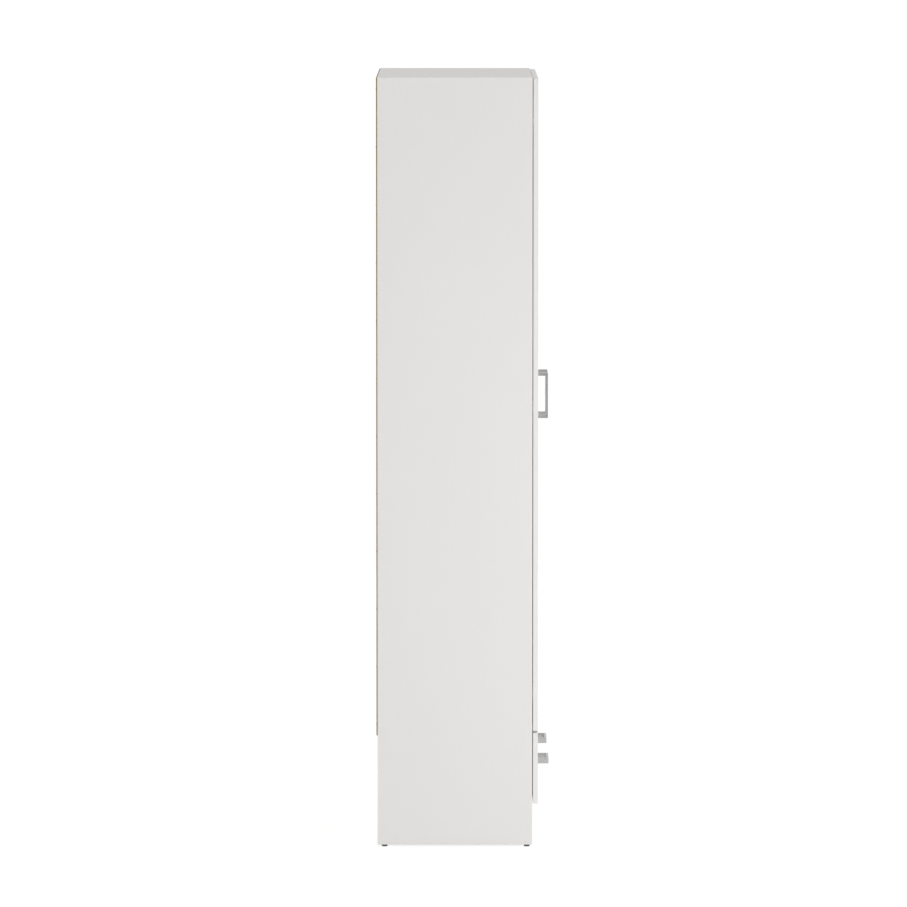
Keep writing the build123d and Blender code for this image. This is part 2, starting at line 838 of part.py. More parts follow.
for side, name in sides:
    handle_x = side * (front_inner_x + door_handle_from_edge)
    handle_screws = handle_screw_planes(handle_x, door_middle, (0, 0, 1))
    cup_planes = [
        Plane(origin=(side * cup_x, front_back, height), x_dir=(1, 0, 0), z_dir=(0, 1, 0))
        for height in hinge_heights
    ]
    cup_screw_planes = [
        Plane(origin=(side * cup_screw_x, flange_face, height + z), x_dir=(1, 0, 0), z_dir=(0, 1, 0))
        for height in hinge_heights
        for z in cup_screw_heights
    ]

    with BuildPart() as door_panel:
        near, far = sorted((side * front_inner_x, side * front_outer_x))
        box_between((near, front_face, door_bottom), (far, front_back, door_top))
        fillet(door_panel.edges(), edge_radius)
        with Locations(*cup_planes):
            Cylinder(
                cup_radius,
                cup_depth,
                align=(Align.CENTER, Align.CENTER, Align.MAX),
                mode=Mode.SUBTRACT,
            )
        cut_with(short_screw_blank, cup_screw_planes)
        cut_with(handle_screw_blank.part, handle_screws)
    save(door_panel, f"{name}_door_panel")

    with BuildPart() as door_handle:
        with Locations(handle_plane(handle_x, door_middle, (0, 0, 1))):
            add(bow_handle.part)
        cut_with(handle_screw_blank.part, handle_screws)
    save(door_handle, f"{name}_door_handle")

    with BuildPart() as door_handle_screws:
        with Locations(*handle_screws):
            add(handle_screw)
    save(door_handle_screws, f"{name}_door_handle_screws")

    hinge_places = [(0, 0, height) for height in hinge_heights]

    with BuildPart() as hinge_cups:
        with Locations(*hinge_places):
            add(hinge_cup.part)
        if side > 0:
            mirror(about=Plane.YZ, mode=Mode.REPLACE)
    save(hinge_cups, f"{name}_hinge_cups")

    with BuildPart() as hinge_pins:
        with Locations(*hinge_places):
            add(hinge_pin.part)
        if side > 0:
            mirror(about=Plane.YZ, mode=Mode.REPLACE)
    save(hinge_pins, f"{name}_hinge_pins")

    with BuildPart() as hinge_cup_screws:
        with Locations(*cup_screw_planes):
            add(short_screw)
    save(hinge_cup_screws, f"{name}_hinge_cup_screws")

# Cabinet runners: a channel on the wall with a roller's pin at its front, made for the left wall of
# the left opening and mirrored to the other three walls

wall = -opening_centre_x - opening_half
roller_start = wall + runner_sheet + roller_end_play
roller_stop = roller_start + front_roller_width + roller_end_play

with BuildPart() as cabinet_runners:
    box_between(
        (wall, carcass_front + runner_setback, runner_bottom),
        (wall + runner_sheet, channel_rear, runner_bottom + channel_height),
    )
    for flange_z in (runner_bottom, runner_bottom + channel_height - runner_sheet):
        box_between(
            (wall, channel_front, flange_z),
            (wall + channel_width, channel_rear, flange_z + runner_sheet),
        )
    box_between(
        (wall, channel_rear - runner_sheet, runner_bottom),
        (wall + channel_width, channel_rear, runner_bottom + channel_height),
    )
    stop_front = rear_roller_y - drawer_travel - rear_roller_radius - stop_gap - runner_sheet
    box_between(
        (wall, stop_front, runner_bottom),
        (wall + stop_width, stop_front + runner_sheet, runner_bottom + channel_height),
    )
    with BuildSketch(Plane.YZ.offset(wall)):
        with Locations((front_roller_y, roller_z)):
            Circle(roller_pin_radius)
    extrude(amount=roller_stop - wall)
    with BuildSketch(Plane.YZ.offset(roller_stop)):
        with Locations((front_roller_y, roller_z)):
            Circle(roller_pin_head_radius)
    extrude(amount=roller_pin_head)
    for rows in runner_rows.values():
        cut_with(screw_blank, runner_screw_planes(-1, -1, rows))
    mirror(about=Plane.YZ.offset(-opening_centre_x))
    mirror(about=Plane.YZ)
save(cabinet_runners, "cabinet_runners")

with BuildPart() as carcass_screws:
    with Locations(*bracket_screw_planes):
        add(screw)
    for side, _ in sides:
        with Locations(*socket_screw_planes(side), *hinge_screw_planes(side)):
            add(screw)
        for hand, _ in sides:
            with Locations(*runner_screw_planes(side, hand, runner_rows[side])):
                add(screw)
save(carcass_screws, "carcass_screws")


def roller(radius, width):
    """A runner's roller, its bore on the Z axis and its lower end at the origin."""
    with BuildPart() as wheel:
        Cylinder(radius, width, align=(Align.CENTER, Align.CENTER, Align.MIN))
        fillet(wheel.edges().filter_by(GeomType.CIRCLE), roller_edge)
        Hole(roller_pin_radius + running_clearance)
    return wheel.part


front_roller = roller(front_roller_radius, front_roller_width)
rear_roller = roller(rear_roller_radius, rear_roller_width)

# Drawers

for side, name in sides:
    centre_x = side * opening_centre_x
    front_centre_x = side * (front_inner_x + front_outer_x) / 2
    along = (1, 0, 0)
    handle_screws = handle_screw_planes(front_centre_x, drawer_front_middle, along)
    front_dowels = [
        Plane(
            origin=(centre_x + hand * (drawer_half - drawer_board / 2), front_back, z),
            x_dir=(1, 0, 0),
            z_dir=(0, 1, 0),
        )
        for hand, _ in sides
        for z in drawer_dowel_heights
    ]
    back_dowels = [
        Plane(
            origin=(centre_x + hand * (drawer_half - drawer_board), drawer_rear - drawer_board / 2, z),
            x_dir=(0, 1, 0),
            z_dir=(-hand, 0, 0),
        ).offset(dowel_face_depth - thin_face_depth)
        for hand, _ in sides
        for z in drawer_dowel_heights
    ]
    runner_screws = [
        Plane(
            origin=(centre_x + hand * drawer_half, y, roller_z),
            x_dir=(0, 1, 0),
            z_dir=(hand, 0, 0),
        ).offset(runner_sheet)
        for hand, _ in sides
        for y in (front_back + runner_screw_inset, drawer_rear - runner_screw_inset)
    ]
    bottom_half = drawer_half - drawer_board + groove_depth

    with BuildPart() as drawer_front:
        near, far = sorted((side * front_inner_x, side * front_outer_x))
        box_between((near, front_face, drawer_front_bottom), (far, front_back, drawer_front_top))
        fillet(drawer_front.edges(), edge_radius)
        box_between(
            (centre_x - bottom_half, front_back - groove_depth, groove_bottom),
            (centre_x + bottom_half, front_back + cut_overrun, groove_top),
            mode=Mode.SUBTRACT,
        )
        cut_with(dowel_hole.part, front_dowels)
        cut_with(handle_screw_blank.part, handle_screws)
    save(drawer_front, f"{name}_drawer_front")

    for hand, hand_name in sides:
        with BuildPart() as drawer_side:
            inner = centre_x + hand * (drawer_half - drawer_board)
            near, far = sorted((inner, centre_x + hand * drawer_half))
            box_between((near, front_back, drawer_bottom_edge), (far, drawer_rear, drawer_top_edge))
            fillet(drawer_side.edges().filter_by(Axis.Y).group_by(Axis.Z)[-1], edge_radius)
            box_between(
                (centre_x - bottom_half, front_back - cut_overrun, groove_bottom),
                (centre_x + bottom_half, drawer_rear + cut_overrun, groove_top),
                mode=Mode.SUBTRACT,
            )
            cut_with(dowel_hole.part, front_dowels + back_dowels)
            cut_with(short_screw_blank, runner_screws)
        save(drawer_side, f"{name}_drawer_{hand_name}_side")

    with BuildPart() as drawer_back:
        back_half = drawer_half - drawer_board
        box_between(
            (centre_x - back_half, drawer_rear - drawer_board, groove_top),
            (centre_x + back_half, drawer_rear, drawer_top_edge),
        )
        fillet(drawer_back.edges().filter_by(Axis.X).group_by(Axis.Z)[-1], edge_radius)
        cut_with(dowel_hole.part, back_dowels)
    save(drawer_back, f"{name}_drawer_back")

    with BuildPart() as drawer_bottom:
        box_between(
            (
                centre_x - bottom_half + groove_fit,
                front_back - groove_depth + groove_fit,
                groove_bottom,
            ),
            (centre_x + bottom_half - groove_fit, drawer_rear, groove_bottom + drawer_bottom_thickness),
        )
    save(drawer_bottom, f"{name}_drawer_bottom")

    with BuildPart() as drawer_dowels:
        with Locations(*front_dowels, *back_dowels):
            add(dowel.part)
    save(drawer_dowels, f"{name}_drawer_dowels")

    # The drawer's runners wrap the lower edges of its sides and reach out over the front rollers
    with BuildPart() as drawer_runners:
        edge_x = centre_x - drawer_half
        box_between(
            (edge_x - runner_sheet, front_back, runner_bottom),
            (edge_x, drawer_rear, drawer_flange_z + runner_sheet),
        )
        box_between(
            (edge_x - drawer_flange_width, front_back, drawer_flange_z),
            (edge_x, drawer_rear, drawer_flange_z + runner_sheet),
        )
        box_between(
            (edge_x - runner_sheet, front_back, runner_bottom),
            (edge_x + drawer_foot_width, drawer_rear, drawer_bottom_edge),
        )
        shoulder_x = edge_x - runner_sheet - runner_sheet - roller_pin_head
        rear_roller_low_x = shoulder_x - roller_end_play - rear_roller_width
        with BuildSketch(Plane.YZ.offset(shoulder_x)):
            with Locations((rear_roller_y, roller_z)):
                Circle(roller_shoulder_radius)
        extrude(amount=edge_x - shoulder_x - runner_sheet)
        with BuildSketch(Plane.YZ.offset(rear_roller_low_x - roller_end_play)):
            with Locations((rear_roller_y, roller_z)):
                Circle(roller_pin_radius)
        extrude(amount=edge_x - rear_roller_low_x)
        with BuildSketch(Plane.YZ.offset(rear_roller_low_x - roller_end_play)):
            with Locations((rear_roller_y, roller_z)):
                Circle(roller_pin_head_radius)
        extrude(amount=-roller_pin_head)
        mirror(about=Plane.YZ.offset(centre_x))
        cut_with(short_screw_blank, runner_screws)
    save(drawer_runners, f"{name}_drawer_runners")

    with BuildPart() as drawer_runner_screws:
        with Locations(*runner_screws):
            add(short_screw)
    save(drawer_runner_screws, f"{name}_drawer_runner_screws")

    with BuildPart() as drawer_handle:
        with Locations(handle_plane(front_centre_x, drawer_front_middle, along)):
            add(bow_handle.part)
        cut_with(handle_screw_blank.part, handle_screws)
    save(drawer_handle, f"{name}_drawer_handle")

    with BuildPart() as drawer_handle_screws:
        with Locations(*handle_screws):
            add(handle_screw)
    save(drawer_handle_screws, f"{name}_drawer_handle_screws")

    with BuildPart() as front_rollers:
        low_x = centre_x - opening_half + runner_sheet + roller_end_play
        with Locations(Plane(origin=(low_x, front_roller_y, roller_z), x_dir=(0, 1, 0), z_dir=(1, 0, 0))):
            add(front_roller)
        mirror(about=Plane.YZ.offset(centre_x))
    save(front_rollers, f"{name}_front_rollers")

    with BuildPart() as rear_rollers:
        low_x = rear_roller_low_x
        with Locations(Plane(origin=(low_x, rear_roller_y, roller_z), x_dir=(0, 1, 0), z_dir=(1, 0, 0))):
            add(rear_roller)
        mirror(about=Plane.YZ.offset(centre_x))
    save(rear_rollers, f"{name}_rear_rollers")
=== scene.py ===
"""Scene of a tall shallow white wardrobe: two doors over two drawers, seen square to its left side."""

import logging
import math
from dataclasses import dataclass, field
from enum import Enum
from typing import ClassVar, Optional, Sequence, Union

import bmesh
import bpy
from mathutils import Matrix, Vector


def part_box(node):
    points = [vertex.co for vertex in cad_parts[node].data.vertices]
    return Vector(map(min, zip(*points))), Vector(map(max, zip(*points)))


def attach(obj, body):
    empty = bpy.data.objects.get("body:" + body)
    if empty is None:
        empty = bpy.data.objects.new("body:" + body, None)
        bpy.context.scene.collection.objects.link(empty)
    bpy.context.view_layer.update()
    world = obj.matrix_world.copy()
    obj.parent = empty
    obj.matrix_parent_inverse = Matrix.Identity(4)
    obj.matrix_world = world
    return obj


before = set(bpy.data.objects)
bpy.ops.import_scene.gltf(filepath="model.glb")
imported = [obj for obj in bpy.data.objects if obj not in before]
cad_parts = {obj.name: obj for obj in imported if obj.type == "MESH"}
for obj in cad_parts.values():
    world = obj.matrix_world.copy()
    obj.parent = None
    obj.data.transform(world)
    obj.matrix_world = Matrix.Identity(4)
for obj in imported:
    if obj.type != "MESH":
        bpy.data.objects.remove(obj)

logger = logging.getLogger("wardrobe")

Colour = tuple[float, float, float]
Point = tuple[float, float, float]
Range = tuple[float, float]
Socket = bpy.types.NodeSocket
Value = Union[Socket, float]
Outline = list[tuple[float, float]]
Ring = list[bmesh.types.BMVert]

MM = 0.001
QUARTER_TURN = math.radians(90.0)
WHITE = (1.0, 1.0, 1.0)
SIDES = ((-1, "left"), (1, "right"))


class Face(Enum):
    """The six faces of a board, each as the axis that it looks along and the sign."""

    LEFT = (0, -1)
    RIGHT = (0, 1)
    FRONT = (1, -1)
    REAR = (1, 1)
    BOTTOM = (2, -1)
    TOP = (2, 1)


class Axis(Enum):
    """The three axes of the wardrobe's frame."""

    X = 0
    Y = 1
    Z = 2


Depths = dict[Face, Socket]
Inputs = dict[Union[int, str], object]
EDGES = (Face.LEFT, Face.RIGHT, Face.BOTTOM, Face.TOP)


@dataclass(frozen=True)
class Grain:
    """One fractal noise of a finish."""

    scale: float
    detail: float = 2.0
    roughness: float = 0.5


@dataclass
class Graph:
    """Shader nodes of one material, made with short calls."""

    material: bpy.types.Material
    noise_reach: ClassVar[Range] = (0.3, 0.7)
    mix_sockets: ClassVar[dict[str, tuple[int, int, int]]] = {"FLOAT": (2, 3, 0), "RGBA": (6, 7, 2)}

    @classmethod
    def named(cls, name: str) -> "Graph":
        """Starts a material.

        Args:
            name: The new material's name.

        Returns:
            The graph around its nodes.
        """
        material = bpy.data.materials.new(name)
        material.use_nodes = True
        return cls(material)

    @property
    def shader(self) -> bpy.types.Node:
        """The material's main shader."""
        return self.material.node_tree.nodes["Principled BSDF"]

    def set(self, **inputs: object) -> None:
        """Sets shader inputs, named in lower case with underscores.

        Args:
            inputs: Plain values or sockets, by input name.
        """
        by_name = {entry.name.lower().replace(" ", "_"): entry for entry in self.shader.inputs}
        for name, value in inputs.items():
            self.feed(by_name[name], value)

    def show(self, shader: bpy.types.Node) -> None:
        """Takes the main shader out and shows another in its place.

        Args:
            shader: The shader to show.
        """
        tree = self.material.node_tree
        tree.nodes.remove(self.shader)
        tree.links.new(shader.outputs[0], tree.nodes["Material Output"].inputs["Surface"])

    def feed(self, target: Socket, value: object) -> None:
        """Links a socket to an input, or sets the input's own value.

        Args:
            target: The input.
            value: A socket, a number, a vector or a colour.
        """
        if isinstance(value, bpy.types.NodeSocket):
            self.material.node_tree.links.new(value, target)
        elif target.type == "RGBA":
            target.default_value = (*value, 1.0)
        else:
            target.default_value = value

    def add(self, kind: str, inputs: Inputs, **settings: object) -> bpy.types.Node:
        """Adds a node.

        Args:
            kind: The node's type after its ShaderNode prefix.
            inputs: Values or sockets, by input index or name.
            settings: The node's own settings.

        Returns:
            The node.
        """
        node = self.material.node_tree.nodes.new("ShaderNode" + kind)
        for name, value in settings.items():
            setattr(node, name, value)
        for key, value in inputs.items():
            self.feed(node.inputs[key], value)
        return node

    def place(self) -> Socket:
        """The surface point in the wardrobe's frame, in metres."""
        return self.add("TexCoord", {}).outputs["Object"]

    def facing(self) -> Socket:
        """The surface direction in the wardrobe's frame."""
        return self.add("TexCoord", {}).outputs["Normal"]

    def parts(self, vector: Socket) -> list[Socket]:
        """The three components of a vector, as sockets."""
        return list(self.add("SeparateXYZ", {0: vector}).outputs)

    def math(self, operation: str, a: Value, b: Value = 0.0) -> Socket:
        """Result of one arithmetic step on two values."""
        return self.add("Math", {0: a, 1: b}, operation=operation).outputs[0]

    def scaled(self, value: Socket, share: float) -> Socket:
        """The value times a number."""
        return self.math("MULTIPLY", value, share)

    def total(self, values: Sequence[Value], operation: str = "ADD") -> Value:
        """Folds values together.

        Args:
            values: Sockets or numbers, at least one.
            operation: The arithmetic that joins each to the next.

        Returns:
            The folded value.
        """
        result = values[0]
        for value in values[1:]:
            result = self.math(operation, result, value)
        return result

    def span(
        self, value: Value, low: float, high: float, first: float = 0.0, last: float = 1.0
    ) -> Socket:
        """Maps a value from one range to another, held at both ends.

        Args:
            value: The value.
            low: Where the result is first.
            high: Where the result is last.
            first: The result at low.
            last: The result at high.

        Returns:
            The mapped value.
        """
        inputs = {"Value": value, "From Min": low, "From Max": high, "To Min": first, "To Max": last}
        return self.add("MapRange", inputs, clamp=True).outputs[0]

    def swing(self, noise: Socket, reach: Range) -> Socket:
        """Maps the usual reach of a noise to another range."""
        return self.span(noise, *self.noise_reach, *reach)

    def around(self, noise: Socket, middle: float, spread: float) -> Socket:
        """Maps the usual reach of a noise to a range around a value."""
        return self.swing(noise, (middle - spread, middle + spread))

    def stretched(self, vector: Socket, scale: Sequence[float]) -> Socket:
        """The vector, scaled along each axis."""
        return self.add("VectorMath", {0: vector, 1: tuple(scale)}, operation="MULTIPLY").outputs[0]

    def drawn_out(self, vector: Socket, axis: Axis, share: float) -> Socket:
        """Squeezes a vector along one axis, so that a pattern read from it is drawn out that way.

        Args:
            vector: The vector.
            axis: The axis.
            share: Scale along it.

        Returns:
            The new vector.
        """
        scale = [1.0, 1.0, 1.0]
        scale[axis.value] = share
        return self.stretched(vector, scale)

    def noise_node(self, vector: Socket, grain: Grain) -> bpy.types.Node:
        """Adds a fractal noise.

        Args:
            vector: Where it is read.
            grain: Its features per metre, number of finer layers and their share.

        Returns:
            The node.
        """
        inputs = {
            "Vector": vector,
            "Scale": grain.scale,
            "Detail": grain.detail,
            "Roughness": grain.roughness,
        }
        return self.add("TexNoise", inputs)

    def noise(self, vector: Socket, grain: Grain) -> Socket:
        """Fractal noise as a value around one half."""
        return self.noise_node(vector, grain).outputs[0]

    def cells(self, vector: Socket, scale: float) -> bpy.types.Node:
        """Cell pattern with the given number of cells per metre."""
        return self.add("TexVoronoi", {"Vector": vector, "Scale": scale}, feature="F1")

    def mix(
        self, kind: str, amount: Value, first: object, second: object, **settings: object
    ) -> Socket:
        """Mixes two values or two colours.

        Args:
            kind: FLOAT for values, RGBA for colours.
            amount: Share of the second.
            first: Value, colour or socket.
            second: Value, colour or socket.
            settings: The node's other settings.

        Returns:
            The mixed value or colour.
        """
        under, over, result = self.mix_sockets[kind]
        inputs = {"Factor": amount, under: first, over: second}
        return self.add("Mix", inputs, data_type=kind, **settings).outputs[result]

    def mixed(self, amount: Value, first: Value, second: Value) -> Socket:
        """Mixes two values."""
        return self.mix("FLOAT", amount, first, second)

    def blend(self, amount: Value, first: object, second: object, mode: str = "MIX") -> Socket:
        """Mixes two colours.

        Args:
            amount: Share of the second colour.
            first: Colour or socket.
            second: Colour or socket.
            mode: How the second goes over the first.

        Returns:
            The mixed colour.
        """
        return self.mix("RGBA", amount, first, second, blend_type=mode, clamp_factor=True)

    def toned(self, colour: object, tone: Socket) -> Socket:
        """The colour times a grey tone near one."""
        grey = self.add("CombineColor", {0: tone, 1: tone, 2: tone}).outputs[0]
        return self.blend(1.0, colour, grey, "MULTIPLY")

    def bump(
        self, height: Socket, depth: float, strength: float, base: Optional[Socket] = None
    ) -> Socket:
        """Surface relief.

        Args:
            height: Height from zero to one.
            depth: Depth of the relief in metres.
            strength: Share of it that shows.
            base: Relief that this goes on top of.

        Returns:
            The surface direction.
        """
        inputs = {"Strength": strength, "Distance": depth, "Height": height}
        if base is not None:
            inputs["Normal"] = base
        return self.add("Bump", inputs).outputs[0]


@dataclass(frozen=True)
class Melamine:
    """White melamine on chipboard, with banded edges and raw chipboard where nothing covers it."""

    colour: Colour = (0.815, 0.800, 0.785)
    gloss: float = 0.52
    reflection: float = 0.32
    fibre: Grain = Grain(420.0, 3.0, 0.6)
    fibre_stretch: float = 0.03
    fibre_tone: Range = (0.991, 1.004)
    fibre_gloss: float = 0.03
    fibre_height: float = 0.8
    cloud: Grain = Grain(3.0)
    cloud_tone: Range = (0.994, 1.004)
    cloud_gloss: float = 0.02
    pearl: Grain = Grain(1500.0, 1.0)
    pearl_depth: float = 0.012 * MM
    pearl_share: float = 0.6
    band_colour: Colour = (0.835, 0.825, 0.812)
    band_thickness: float = 0.9 * MM
    band_fade: Range = (0.45 * MM, 0.25 * MM)
    seam_colour: Colour = (0.50, 0.46, 0.42)
    seam_width: float = 0.12 * MM
    seam_share: float = 0.45
    chip_light: Colour = (0.58, 0.43, 0.26)
    chip_dark: Colour = (0.27, 0.17, 0.09)
    chip_scale: float = 420.0
    chip_stretch: Point = (1.0, 1.0, 1.6)
    chip_shade: Range = (0.5, 1.5)
    chip_gloss: Range = (0.75, 0.95)
    crumb: Grain = Grain(1400.0, 3.0, 0.7)
    pit_depth: float = 0.25 * MM
    pit_share: float = 0.5
    skin: float = 0.7 * MM
    skin_fade: Range = (0.9, 1.1)
    rag: Grain = Grain(900.0, 1.0)
    rag_depth: float = 0.25 * MM
    raw_fade: Range = (0.1 * MM, 0.0)

    @staticmethod
    def distance(graph: Graph, place: list[Socket], low: Vector, high: Vector, face: Face) -> Socket:
        """Depth of a point under one face of the board.

        Args:
            graph: The material's graph.
            place: The point's three coordinates.
            low: The board's lowest corner.
            high: The board's highest corner.
            face: The face.

        Returns:
            The depth in metres.
        """
        axis, sign = face.value
        if sign < 0:
            return graph.math("SUBTRACT", place[axis], low[axis])
        return graph.math("SUBTRACT", high[axis], place[axis])

    def bare(self, graph: Graph, point: Socket, depth: Depths, raw: Sequence[Face]) -> Value:
        """Where bare chipboard shows: in cut holes, and on faces that nothing covers.

        Args:
            graph: The material's graph.
            point: The point.
            depth: Its depth under each face.
            raw: The faces of bare chipboard.

        Returns:
            The share of bare chipboard.
        """
        inside = graph.total(list(depth.values()), "MINIMUM")
        low, high = self.skin_fade
        shares = [graph.span(inside, self.skin * low, self.skin * high)]
        if raw:
            ragged = graph.scaled(graph.noise(point, self.rag), self.rag_depth)
            edges = [graph.math("SUBTRACT", depth[face], ragged) for face in raw]
            shares += [graph.span(edge, *self.raw_fade) for edge in edges]
        return graph.total(shares, "MAXIMUM")

    def banding(self, graph: Graph, colour: Socket, depth: Depths, banded: Sequence[Face]) -> Socket:
        """Lays the edge bands and the seams beside them over the face colour.

        Args:
            graph: The material's graph.
            colour: The face colour.
            depth: Depth of the point under each face.
            banded: The faces under edge banding.

        Returns:
            The colour with its bands.
        """
        for face in banded:
            on_band = graph.span(depth[face], *self.band_fade)
            colour = graph.blend(on_band, colour, self.band_colour)
            off = graph.math("ABSOLUTE", graph.math("SUBTRACT", depth[face], self.band_thickness))
            seam = graph.scaled(graph.span(off, self.seam_width, 0.0), self.seam_share)
            colour = graph.blend(seam, colour, self.seam_colour)
        return colour

    def material(
        self,
        name: str,
        low: Vector,
        high: Vector,
        raw: Sequence[Face],
        banded: Sequence[Face],
        grain: Axis,
    ) -> bpy.types.Material:
        """Makes the finish of one board.

        Args:
            name: The material's name.
            low: The board's lowest corner.
            high: The board's highest corner.
            raw: Its faces of bare chipboard.
            banded: Its faces under edge banding.
            grain: The way that the faint grain runs.

        Returns:
            The material.
        """
        graph = Graph.named(name)
        point = graph.place()
        place = graph.parts(point)
        depth = {face: self.distance(graph, place, low, high, face) for face in Face}
        bare = self.bare(graph, point, depth, raw)

        fibre = graph.noise(graph.drawn_out(point, grain, self.fibre_stretch), self.fibre)
        cloud = graph.noise(point, self.cloud)
        tones = [graph.swing(fibre, self.fibre_tone), graph.swing(cloud, self.cloud_tone)]
        toned = graph.toned(self.colour, graph.total(tones, "MULTIPLY"))
        cover = self.banding(graph, toned, depth, banded)
        cover_rough = graph.math(
            "ADD",
            graph.around(fibre, self.gloss, self.fibre_gloss),
            graph.around(cloud, 0.0, self.cloud_gloss),
        )

        cells = graph.cells(graph.stretched(point, self.chip_stretch), self.chip_scale)
        crumbs = graph.noise(point, self.crumb)
        shade = graph.math("ADD", graph.parts(cells.outputs["Color"])[0], crumbs)
        chips = graph.blend(graph.span(shade, *self.chip_shade), self.chip_dark, self.chip_light)

        fibres = graph.scaled(fibre, self.fibre_height)
        height = graph.math("ADD", graph.noise(point, self.pearl), fibres)
        relief = graph.bump(height, self.pearl_depth, self.pearl_share)
        pits = graph.math("MULTIPLY", graph.math("ADD", cells.outputs["Distance"], crumbs), bare)
        graph.set(
            base_color=graph.blend(bare, cover, chips),
            roughness=graph.mixed(bare, cover_rough, graph.swing(crumbs, self.chip_gloss)),
            normal=graph.bump(pits, self.pit_depth, self.pit_share, relief),
            specular_ior_level=self.reflection,
        )
        return graph.material


@dataclass(frozen=True)
class Hardboard:
    """Raw tan hardboard, pressed from fine fibres, with one face painted white."""

    light: Colour = (0.41, 0.285, 0.150)
    dark: Colour = (0.27, 0.175, 0.085)
    tone_reach: Range = (0.85, 1.30)
    cloud: Grain = Grain(5.0, 4.0, 0.55)
    cloud_share: float = 0.5
    mottle: Grain = Grain(60.0, 4.0, 0.6)
    mottle_share: float = 0.5
    warp: Grain = Grain(45.0)
    warp_reach: float = 0.02
    strand: Grain = Grain(240.0, 3.0, 0.65)
    strand_stretch: float = 0.12
    fleck: Colour = (0.16, 0.095, 0.045)
    fleck_scale: float = 320.0
    fleck_size: Range = (0.20, 0.10)
    fleck_share: float = 0.55
    gloss: Range = (0.50, 0.68)
    paint: Colour = (0.80, 0.79, 0.775)
    paint_tone: Range = (0.985, 1.005)
    paint_gloss: Range = (0.36, 0.46)
    paint_facing: Range = (0.55, 0.75)
    roller: Grain = Grain(520.0)
    roller_height: float = 0.5
    depth: float = 0.05 * MM
    depth_share: float = 0.5

    def material(self, name: str, painted: Face) -> bpy.types.Material:
        """Makes the finish of one sheet.

        Args:
            name: The material's name.
            painted: The face that is painted white.

        Returns:
            The material.
        """
        graph = Graph.named(name)
        point = graph.place()
        axis, sign = painted.value
        along = graph.scaled(graph.parts(graph.facing())[axis], float(sign))
        on_paint = graph.span(along, *self.paint_facing)

        cloud = graph.noise(point, self.cloud)
        mottle = graph.noise(point, self.mottle)
        warp = graph.noise_node(point, self.warp).outputs["Color"]
        shift = graph.stretched(warp, (self.warp_reach,) * 3)
        bent = graph.add("VectorMath", {0: point, 1: shift}, operation="ADD").outputs[0]
        ways = [graph.drawn_out(bent, way, self.strand_stretch) for way in (Axis.Z, Axis.X)]
        strand = graph.total([graph.noise(way, self.strand) for way in ways], "MAXIMUM")
        spots = [graph.scaled(cloud, self.cloud_share), graph.scaled(mottle, self.mottle_share)]
        tone = graph.total([*spots, strand])
        board = graph.blend(graph.span(tone, *self.tone_reach), self.dark, self.light)
        specks = graph.cells(bent, self.fleck_scale)
        dots = graph.scaled(graph.span(specks.outputs["Distance"], *self.fleck_size), self.fleck_share)
        board = graph.blend(dots, board, self.fleck)

        roller = graph.noise(point, self.roller)
        paint = graph.toned(self.paint, graph.swing(cloud, self.paint_tone))
        paint_rough = graph.swing(roller, self.paint_gloss)
        height = graph.math("ADD", strand, graph.scaled(roller, self.roller_height))
        graph.set(
            base_color=graph.blend(on_paint, board, paint),
            roughness=graph.mixed(on_paint, graph.swing(mottle, self.gloss), paint_rough),
            normal=graph.bump(height, self.depth, self.depth_share),
        )
        return graph.material


@dataclass(frozen=True)
class Metal:
    """Bare or plated metal, with fine brushing or drawing lines, smudges and stains."""

    colour: Colour
    gloss: float
    brushing: Optional[Axis] = None
    brush_depth: float = 0.01 * MM
    brush_share: float = 0.6
    grazing: Colour = (0.92, 0.92, 0.92)
    line: Grain = Grain(2600.0, 2.0, 0.6)
    line_stretch: float = 0.02
    line_tone: Range = (0.97, 1.02)
    line_gloss: float = 0.03
    smudge: Grain = Grain(55.0, 3.0, 0.6)
    smudge_tone: Range = (0.95, 1.03)
    smudge_gloss: float = 0.05
    stain: Grain = Grain(18.0, 4.0, 0.6)
    stain_colour: Colour = (0.93, 0.91, 0.88)
    stain_reach: Range = (0.56, 0.72)
    stain_share: float = 0.5
    cast_depth: float = 0.0
    cast_share: float = 0.7
    grit: Grain = Grain(900.0)

    def material(self, name: str) -> bpy.types.Material:
        """Makes the finish.

        Args:
            name: The material's name.

        Returns:
            The material.
        """
        graph = Graph.named(name)
        point = graph.place()
        drawn = point
        if self.brushing is not None:
            drawn = graph.drawn_out(point, self.brushing, self.line_stretch)
        lines = graph.noise(drawn, self.line)
        smudge = graph.noise(point, self.smudge)
        tones = [graph.swing(smudge, self.smudge_tone), graph.swing(lines, self.line_tone)]
        stain = graph.span(graph.noise(point, self.stain), *self.stain_reach)
        toned = graph.toned(self.colour, graph.total(tones, "MULTIPLY"))
        stained = graph.scaled(stain, self.stain_share)
        colour = graph.blend(stained, toned, self.stain_colour, "MULTIPLY")
        rough = graph.math(
            "ADD",
            graph.around(smudge, self.gloss, self.smudge_gloss),
            graph.around(lines, 0.0, self.line_gloss),
        )
        relief = graph.bump(lines, self.brush_depth, self.brush_share)
        if self.cast_depth:
            relief = graph.bump(graph.noise(point, self.grit), self.cast_depth, self.cast_share, relief)
        graph.set(
            base_color=colour,
            metallic=1.0,
            roughness=rough,
            normal=relief,
            specular_tint=self.grazing,
        )
        return graph.material


